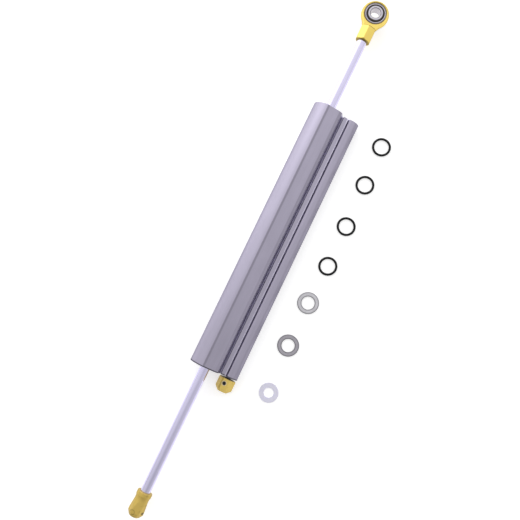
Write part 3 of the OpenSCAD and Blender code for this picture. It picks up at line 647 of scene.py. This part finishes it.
def woven_liner(colour):
    """Woven bearing liner: two crossed sets of threads.

    One is a sine of the angle round the ball's axis, the other a sine of the height.
    """
    threads_round, thread_pitch = 150.0, 0.32 * MM

    def build(paint):
        x, y, z = (paint.axis(name, EYE_CENTRE) for name in "XYZ")
        warp = paint.math("SINE", paint.math("ARCTAN2", y, x) * threads_round)
        weft = paint.math("SINE", z * (2.0 * math.pi / thread_pitch))
        weave = warp * weft * 0.5 + 0.5
        fuzz = paint.noise(paint.place(), 3000.0, 2.0)
        return {
            "Base Color": tone(paint, colour, weave * 0.7 + fuzz * 0.3, 0.6),
            "Roughness": 0.55 + fuzz * 0.2,
            "Normal": paint.bump(weave, 0.03 * MM, 0.6),
        }

    return build


def moulded_plastic(colour, speck, rough=0.38, depth=0.25):
    """Machined plastic: soft clouds, darker filler specks, and light that sinks in a little."""

    def build(paint):
        clouds = paint.noise(paint.place(), 260.0, 3.0)
        specks = paint.step(paint.noise(paint.place(), 2600.0, 2.0), 0.60, 0.72)
        rings = paint.noise(paint.place((1.0, 1.0, 6.0)), 1500.0, 2.0)
        return {
            "Base Color": paint.mix_colour(specks * 0.3, tone(paint, colour, clouds, 0.07), speck),
            "Roughness": rough + clouds * 0.1,
            "Subsurface Weight": depth,
            "Subsurface Radius": (0.6, 0.6, 0.7),
            "Subsurface Scale": 0.8 * MM,
            "Normal": paint.bump(rings * 0.5 + clouds * 0.5, 0.008 * MM, 0.4),
        }

    return build


def closed_foam(colour):
    """Closed cell foam: small cells from a Voronoi pattern, with darker walls between them."""

    def build(paint):
        cells = paint.node(
            "ShaderNodeTexVoronoi", {"feature": "DISTANCE_TO_EDGE"},
            {"Vector": paint.place(), "Scale": 1700.0}, "Distance",
        )
        wall = paint.step(cells, 0.02, 0.2)
        return {
            "Base Color": tone(paint, colour, wall, 0.5),
            "Roughness": 0.85 - wall * 0.1,
            "Normal": paint.bump(wall, 0.05 * MM, 0.8),
        }

    return build


def dress(name, build, *nodes):
    """Gives CAD nodes one new material in every slot, and returns it."""
    made = material(name, build)
    for node in nodes:
        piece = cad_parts[node]
        if not piece.data.materials:
            piece.data.materials.append(made)
        for index in range(len(piece.data.materials)):
            piece.data.materials[index] = made
    return made


def grid_piece(name, grids, made, body, node):
    """Closed surfaces from grids of points, round both ways, that stand for a CAD node.

    Each cell of a grid becomes a quad with its corners in turn, so the faces point outwards
    where the first way round and the second way round cross in right-hand order.
    """
    points = np.stack(grids)
    if not np.isfinite(points).all():
        raise RuntimeError(f"{name} has points that aren't finite")
    count, steps, around, _ = points.shape
    index = np.arange(count * steps * around).reshape(count, steps, around)
    turns = ((0, 0), (-1, 0), (-1, -1), (0, -1))
    quads = np.stack([np.roll(index, turn, axis=(1, 2)) for turn in turns], axis=-1)
    mesh = bpy.data.meshes.new(name)
    mesh.from_pydata(points.reshape(-1, 3).tolist(), [], quads.reshape(-1, 4).tolist())
    mesh.polygons.foreach_set("use_smooth", np.ones(len(mesh.polygons), dtype=bool))
    mesh.materials.append(made)
    mesh.update()
    piece = bpy.data.objects.new(name, mesh)
    bpy.context.scene.collection.objects.link(piece)
    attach(piece, body)
    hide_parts(node)


def carried_round(radius, height, centre, steps):
    """A profile carried round a vertical axis.

    The point at angle a is the centre plus (r cos a, r sin a, h), where r and h come from the
    profile. The radius may be an array of one row for each angle.
    """
    angle = np.linspace(0.0, 2.0 * np.pi, steps, endpoint=False)[:, None]
    radius = np.broadcast_to(radius, (steps, np.shape(radius)[-1]))
    height = np.broadcast_to(height, radius.shape)
    points = np.stack([radius * np.cos(angle), radius * np.sin(angle), height], axis=-1)
    return points + np.asarray(centre, dtype=float)


def rounded_profile(corners, rounds, per_corner):
    """A closed outline with each corner cut by an arc.

    The arc at a corner is the curve b(t) = (1-t)^2 p + 2 t (1-t) c + t^2 q, where c is the corner
    and p and q lie at the corner's distance along its two sides.
    """
    corners = np.asarray(corners, dtype=float)
    before, after = np.roll(corners, 1, axis=0), np.roll(corners, -1, axis=0)
    size = np.asarray(rounds, dtype=float)[:, None]
    to_before, to_after = before - corners, after - corners
    start = corners + size * to_before / np.linalg.norm(to_before, axis=1, keepdims=True)
    end = corners + size * to_after / np.linalg.norm(to_after, axis=1, keepdims=True)
    t = np.linspace(0.0, 1.0, per_corner)[None, :, None]
    arcs = (
        (1 - t) ** 2 * start[:, None] + 2 * t * (1 - t) * corners[:, None] + t ** 2 * end[:, None]
    )
    return arcs.reshape(-1, 2)


def islands(node):
    """The boxes of a CAD node's separate solids, from the largest X to the smallest.

    The points are sorted along X and split where the next one is further off than the gap.
    """
    gap = 4.0 * MM
    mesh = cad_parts[node].data
    co = np.empty(len(mesh.vertices) * 3, dtype=np.float32)
    mesh.vertices.foreach_get("co", co)
    co = co.reshape(-1, 3)
    co = co[np.argsort(-co[:, 0])]
    breaks = np.flatnonzero(-np.diff(co[:, 0]) > gap) + 1
    return [(part.min(axis=0), part.max(axis=0)) for part in np.split(co, breaks)]


class DAMPER_OT_body(bpy.types.Operator):
    """Finish the twin barrel body and the plugs in its side barrel"""

    bl_idname = "damper.body"
    bl_label = "Barrel body"

    def execute(self, context):
        colours, sizes = context.scene.damper_colours, context.scene.damper_sizes
        # Painted shade on the body, and painted light in its notch and thin slot
        colour_layers = [(painted_body_shade, colours.body_shade_colour), (painted_groove_light, colours.groove_light_colour)]
        build = anodised(colours.body, sizes.edge_round, lines=0.8, colour_layers=colour_layers)
        dress("anodised_body", build, "barrel_body", "channel_plug")
        dress("port_plug_steel", turned_metal(colours.steel, sizes.edge_round), "port_plugs")
        return {"FINISHED"}


class DAMPER_OT_rod(bpy.types.Operator):
    """Finish the chromed piston rod"""

    bl_idname = "damper.rod"
    bl_label = "Piston rod"

    def execute(self, context):
        colours, sizes = context.scene.damper_colours, context.scene.damper_sizes
        dress("chrome_rod", ground_chrome(colours.chrome, sizes.edge_round), "piston_rod")
        return {"FINISHED"}


class DAMPER_OT_gold(bpy.types.Operator):
    """Finish the gold rod end, end cap and adjuster knob"""

    bl_idname = "damper.gold"
    bl_label = "Gold pieces"

    def execute(self, context):
        colours, sizes = context.scene.damper_colours, context.scene.damper_sizes
        for name, node, colour, worn, rough, metal, colour_layers in (
            ("gold_rod_end", "rod_end", colours.gold, (0.95, 0.85, 0.50), 0.34, 1.0,
             [(rod_end_shade, colours.dark_layer)]),
            ("gold_knob", "adjuster_knob", colours.knob_gold, (0.95, 0.80, 0.42), 0.36, 0.55,
             [(knob_shade_and_patches, colours.dark_layer), (painted_hole_highlight, colours.hole_highlight_colour)]),
            ("gold_cap", "end_cap_nut", colours.cap_gold, (0.85, 0.70, 0.30), 0.40, 0.55,
             [(cap_marks_and_shade, colours.dark_layer)]),
        ):
            dress(name, anodised(
                colour, sizes.edge_round, rough=rough, worn=worn, colour_layers=colour_layers, metal=metal
            ), node)
        return {"FINISHED"}


class DAMPER_OT_bearing(bpy.types.Operator):
    """Finish the spherical bearing, and turn its race with a staking groove in both faces"""

    bl_idname = "damper.bearing"
    bl_label = "Spherical bearing"

    def execute(self, context):
        colours, sizes = context.scene.damper_colours, context.scene.damper_sizes
        out_r = float(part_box("bearing_race")[1][0] - EYE_CENTRE[0])
        bore_r = float(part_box("bearing_liner")[1][0] - EYE_CENTRE[0]) + sizes.bearing_gap
        bolt_r = sizes.bolt_hole / 2

        # Painted shade on the chamfer of the ball's bolt hole; the race darker and browner, most
        # at its outer rim
        def dark_bearing_rings(paint, out):
            mouth = paint.band(out, bolt_r + 0.1 * MM, bolt_r + 0.5 * MM, 0.1 * MM) * 0.55
            race = paint.step(out, bore_r - 0.6 * MM, bore_r - 0.3 * MM, mouth, 0.38)
            return paint.step(out, out_r - 0.60 * MM, out_r - 0.20 * MM, race, 0.9)

        ground = dress("bearing_steel", turned_metal(
            colours.bearing, sizes.edge_round, rough=0.2, centre=EYE_CENTRE, axis="Z",
            pitch=0.11 * MM, dark_layer=(dark_bearing_rings, colours.bearing_dark_colour),
        ), "bearing_ball")
        dress("woven_liner", woven_liner(colours.liner), "bearing_liner")
        low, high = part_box("bearing_race")
        half = (high[2] - low[2]) / 2
        mouth_r = math.sqrt(bore_r ** 2 - half ** 2)
        groove = (mouth_r + out_r) / 2 + 0.15 * MM  # a little outside the face's middle
        wide, deep, chamfer = sizes.stake_width / 2, sizes.stake_depth, 0.3 * MM
        face = [
            (mouth_r, half), (groove - wide, half), (groove, half - deep), (groove + wide, half),
            (out_r - chamfer, half), (out_r, half - chamfer),
        ]
        # the bore is a part of the liner's sphere: (R cos a, R sin a) between the two mouths
        slope = np.linspace(-1.0, 1.0, 15)[1:-1] * math.asin(half / bore_r)
        bore = list(zip(bore_r * np.cos(slope), bore_r * np.sin(slope)))
        corners = face + [(r, -h) for r, h in reversed(face)] + bore
        rounds = [0.05 * MM] * (2 * len(face)) + [0.0] * len(bore)
        outline = rounded_profile(corners, rounds, 3)[::-1]
        points = carried_round(outline[:, 0], outline[:, 1], EYE_CENTRE, sizes.ring_steps)
        grid_piece(
            "bearing_race_turned", [points], ground, "rod", "bearing_race"
        )
        return {"FINISHED"}


class DAMPER_OT_inner(bpy.types.Operator):
    """Finish the guides, seals, piston and valve inside the body"""

    bl_idname = "damper.inner"
    bl_label = "Inner pieces"

    def execute(self, context):
        colours, sizes = context.scene.damper_colours, context.scene.damper_sizes
        side, edge = middle("valve_sleeve"), sizes.edge_round
        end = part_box("barrel_body")[0][0]

        # Painted shade on the valve steel in the gap between the body's end and the knob
        def valve_gap_shade(paint, _):
            return paint.step(paint.axis("X"), end + 1.5 * MM, end + 0.5 * MM, 0.0, 0.88)

        dress(
            "guide_steel", turned_metal(colours.steel, edge),
            "upper_rod_guide", "lower_rod_guide", "piston_shims",
        )
        dress(
            "valve_steel", turned_metal(
                colours.steel, edge, 0.24, side, dark_layer=(valve_gap_shade, colours.gap_shade_colour)
            ),
            "valve_sleeve", "adjuster_spindle", "detent_spring", "detent_ball",
        )
        dress(
            "bush_bronze", turned_metal(colours.bronze, edge, 0.34),
            "upper_rod_bush", "lower_rod_bush", "piston",
        )
        dress(
            "valve_bronze", turned_metal(colours.bronze, edge, 0.30, side),
            "valve_needle", "valve_seat",
        )
        dress(
            "blackened_steel", plated_steel(colours.dark_steel, edge),
            "upper_circlip", "lower_circlip", "piston_circlips", "knob_set_screw",
        )
        dress(
            "seal_rubber", moulded_rubber(colours.rubber),
            "upper_rod_seal", "lower_rod_seal", "upper_wiper", "lower_wiper",
            "upper_guide_o_ring", "lower_guide_o_ring", "piston_o_ring", "spindle_o_ring",
            "valve_sleeve_o_ring", "channel_plug_o_ring",
        )
        dress(
            "glide_ring_plastic", moulded_plastic(colours.ptfe, (0.35, 0.25, 0.14)),
            "piston_glide_ring",
        )
        dress("cell_foam", closed_foam(colours.foam), "expansion_insert")
        return {"FINISHED"}


class DAMPER_OT_seal_rings(bpy.types.Operator):
    """Make the four loose seal rings with their moulding lines"""

    bl_idname = "damper.seal_rings"
    bl_label = "Loose seal rings"

    def execute(self, context):
        colours, sizes = context.scene.damper_colours, context.scene.damper_sizes
        rubber = material("loose_ring_rubber", moulded_rubber(colours.rubber))
        rings, steps = [], sizes.ring_steps
        a = np.linspace(0.0, 2.0 * np.pi, steps, endpoint=False)[:, None]
        b = np.linspace(0.0, 2.0 * np.pi, TUBE_STEPS, endpoint=False)[None, :]
        # at angle a round the ring and b round its tube of radius t, with the flash's height f:
        # r = R (1 - oval (1 + cos 2(a - turn)) / 2) + (t - f + f exp(-(t sin b / width)^2)) cos b
        # and h = t sin b
        for number, (low, high) in enumerate(islands("spare_o_rings")):
            thick = (high[2] - low[2]) / 2
            middle_r = (high[0] - low[0]) / 2 - thick
            flash = sizes.flash * np.exp(-(np.sin(b) * thick / sizes.flash_width) ** 2)
            oval = 1.0 - sizes.oval * (0.5 + 0.5 * np.cos(2.0 * (a - 1.3 * number)))
            radius = middle_r * oval + (thick + flash - sizes.flash) * np.cos(b)
            rings.append(carried_round(radius, thick * np.sin(b), (low + high) / 2, steps))
        if len(rings) != SEAL_RING_COUNT:
            raise RuntimeError(f"{len(rings)} seal rings were found, not {SEAL_RING_COUNT}")
        grid_piece("loose_seal_rings", rings, rubber, "barrel", "spare_o_rings")
        return {"FINISHED"}


class DAMPER_OT_washers(bpy.types.Operator):
    """Make the loose steel washers with rolled edges and the loose nylon washer"""

    bl_idname = "damper.washers"
    bl_label = "Loose washers"

    def execute(self, context):
        colours, sizes = context.scene.damper_colours, context.scene.damper_sizes
        edge = 0.3 * sizes.edge_round
        roll, burr = sizes.washer_roll, sizes.washer_burr
        for node, tones, hole, slot in (
            ("spare_steel_washers", (colours.washer, colours.darker_washer), STEEL_WASHER_HOLE,
             "washer_steel"),
            ("spare_nylon_washer", (colours.nylon,), NYLON_WASHER_HOLE, "nylon"),
        ):
            parts = islands(node)
            if len(parts) != len(tones):
                raise RuntimeError(f"{node} has {len(parts)} solids, not {len(tones)}")
            for number, ((low, high), colour) in enumerate(zip(parts, tones)):
                centre = np.array([(low[0] + high[0]) / 2, (low[1] + high[1]) / 2, low[2]])
                in_r, out_r, thick = hole / 2, (high[0] - low[0]) / 2, high[2] - low[2]
                crest, foot = 0.1 * MM, 0.5 * MM  # where the burr is highest and where it ends
                corners = [
                    (in_r, burr), (in_r, thick), (out_r, thick), (out_r, burr),
                    (out_r - crest, 0.0), (out_r - foot, burr),
                    (in_r + foot, burr), (in_r + crest, 0.0),
                ]
                small = 0.02 * MM
                rounds = [small, roll * 0.7, roll, small, small, 5 * small, 5 * small, small]
                outline = rounded_profile(corners, rounds, 7)[::-1]
                points = carried_round(outline[:, 0], outline[:, 1], centre, sizes.ring_steps)
                ring = (centre + (0.0, 0.0, thick), in_r, out_r)
                if slot == "nylon":
                    build = moulded_plastic(colour, (0.55, 0.54, 0.62), 0.3, 0.5)
                else:
                    build = plated_steel(colour, edge, ring)
                name = f"loose_{slot}_{number + 1}"
                grid_piece(name, [points], material(name, build), "barrel", node)
        return {"FINISHED"}


def lay_floor(scene, stage, colour):
    """A plain square floor. Its background colour is added only where it is looked at.

    That is a Mix Shader between the matt floor and the matt floor with a glow, by whether a ray
    comes from the camera, a reflection or a transmission. The glow rises in steps of X and Y.
    """
    half = stage.floor_size / 2
    corners = [
        (x, y, FLOOR_Z - FLOOR_GAP)
        for x, y in ((-half, -half), (half, -half), (half, half), (-half, half))
    ]
    mesh = bpy.data.meshes.new("floor")
    mesh.from_pydata(corners, [], [(0, 1, 2, 3)])
    floor = bpy.data.objects.new("floor", mesh)
    scene.collection.objects.link(floor)
    made = bpy.data.materials.new("floor_paper")
    made.use_nodes = True
    paint = Paint(made.node_tree)
    seen = paint.highest(*(
        paint.node("ShaderNodeLightPath", out=ray)
        for ray in ("Is Camera Ray", "Is Glossy Ray", "Is Transmission Ray")
    ))
    bright = paint.step(paint.axis("Y"), 0.0, 0.04) * paint.step(paint.axis("X"), -0.10, 0.10)
    plain, raised = stage.floor_lift, stage.floor_lift + stage.floor_slope
    glow = paint.mix_colour(bright, (plain,) * 3, (raised,) * 3)
    matt = paint.node("ShaderNodeBsdfDiffuse", None, {"Color": colour})
    lift = paint.node("ShaderNodeEmission", None, {"Color": glow})
    lifted = paint.node("ShaderNodeAddShader", None, {0: matt, 1: lift})
    paint.surface(paint.node("ShaderNodeMixShader", None, {0: seen, 1: matt, 2: lifted}))
    mesh.materials.append(made)


def light_studio(scene, stage):
    """Even light from all round, with a slope, a soft glow and a dim patch.

    Its strength is sky + rise . v + glow max(c, 0)^6.6 - dim max(d, 0)^5.5, where v is the way
    looked, and c and d are its cosines to the bright side and to the dim patch.
    """
    world = bpy.data.worlds.new("even_light")
    world.use_nodes = True
    paint = Paint(world.node_tree)
    way = paint.node("ShaderNodeTexCoord", out="Generated")

    def lobe(side, power):
        return paint.highest(paint.measure("DOT_PRODUCT", way, side), 0.0) ** power

    rise = paint.measure("DOT_PRODUCT", way, stage.sky_rise)
    glow = lobe(stage.bright_side, 6.6) * stage.glow
    dim = lobe(stage.dim_side, 5.5) * stage.dim_depth
    strength = paint.highest(rise + glow - dim + stage.sky, stage.sky_least)
    even = paint.node(
        "ShaderNodeBackground", None, {"Color": (1.0, 1.0, 1.0), "Strength": strength}
    )
    paint.node("ShaderNodeOutputWorld", None, {"Surface": even})
    scene.world = world


def hang_softbox(scene, stage):
    """A square soft lamp above the bright side, turned to the damper's middle."""
    light = bpy.data.lights.new("key_softbox", "AREA")
    light.shape = "SQUARE"
    light.size = SOFTBOX_SIDE
    light.energy = stage.key_power
    key = bpy.data.objects.new("key_softbox", light)
    scene.collection.objects.link(key)
    side = Vector(stage.key_side).normalized()
    key.location = side * SOFTBOX_DISTANCE
    key.rotation_euler = side.to_track_quat("Z", "Y").to_euler()


def aim_camera(scene, stage):
    """The camera at the photograph's viewing angle."""
    camera = bpy.data.cameras.new("camera")
    camera.sensor_width = 36.0
    camera.lens = stage.lens
    camera.clip_start, camera.clip_end = 0.01, 50.0
    eye = bpy.data.objects.new("camera", camera)
    scene.collection.objects.link(eye)
    eye.location = stage.camera_at
    eye.rotation_euler = stage.camera_turn
    bpy.context.scene.camera = eye


class DAMPER_OT_stage(bpy.types.Operator):
    """Set the floor, the even light, the soft lamp and the camera"""

    bl_idname = "damper.stage"
    bl_label = "Stage"

    def execute(self, context):
        scene, stage = context.scene, context.scene.damper_stage
        scene.view_settings.view_transform = "Standard"
        lay_floor(scene, stage, scene.damper_colours.floor)
        light_studio(scene, stage)
        hang_softbox(scene, stage)
        aim_camera(scene, stage)
        return {"FINISHED"}


class DAMPER_PT_panel(bpy.types.Panel):
    """The damper's sizes, colours and steps"""

    bl_idname = "DAMPER_PT_panel"
    bl_label = "Steering damper"
    bl_space_type = "VIEW_3D"
    bl_region_type = "UI"
    bl_category = "Damper"

    def draw(self, context):
        layout = self.layout
        for group in ("damper_colours", "damper_sizes", "damper_stage"):
            box = layout.box()
            held = getattr(context.scene, group)
            for name in held.bl_rna.properties.keys():
                if name not in ("rna_type", "name"):
                    box.prop(held, name)
        for operator in STEPS:
            layout.operator(operator.bl_idname)


STEPS = (
    DAMPER_OT_body, DAMPER_OT_rod, DAMPER_OT_gold, DAMPER_OT_bearing, DAMPER_OT_inner,
    DAMPER_OT_seal_rings, DAMPER_OT_washers, DAMPER_OT_stage,
)
CLASSES = (DamperColours, DamperSizes, DamperStage, *STEPS, DAMPER_PT_panel)


def register():
    for made in CLASSES:
        bpy.utils.register_class(made)
    bpy.types.Scene.damper_colours = PointerProperty(type=DamperColours)
    bpy.types.Scene.damper_sizes = PointerProperty(type=DamperSizes)
    bpy.types.Scene.damper_stage = PointerProperty(type=DamperStage)


def unregister():
    del bpy.types.Scene.damper_stage
    del bpy.types.Scene.damper_sizes
    del bpy.types.Scene.damper_colours
    for made in reversed(CLASSES):
        bpy.utils.unregister_class(made)


def main():
    """Makes everything in order."""
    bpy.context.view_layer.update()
    register()
    bpy.ops.damper.body()
    bpy.ops.damper.rod()
    bpy.ops.damper.gold()
    bpy.ops.damper.bearing()
    bpy.ops.damper.inner()
    bpy.ops.damper.seal_rings()
    bpy.ops.damper.washers()
    bpy.ops.damper.stage()


if __name__ == "__main__":
    main()
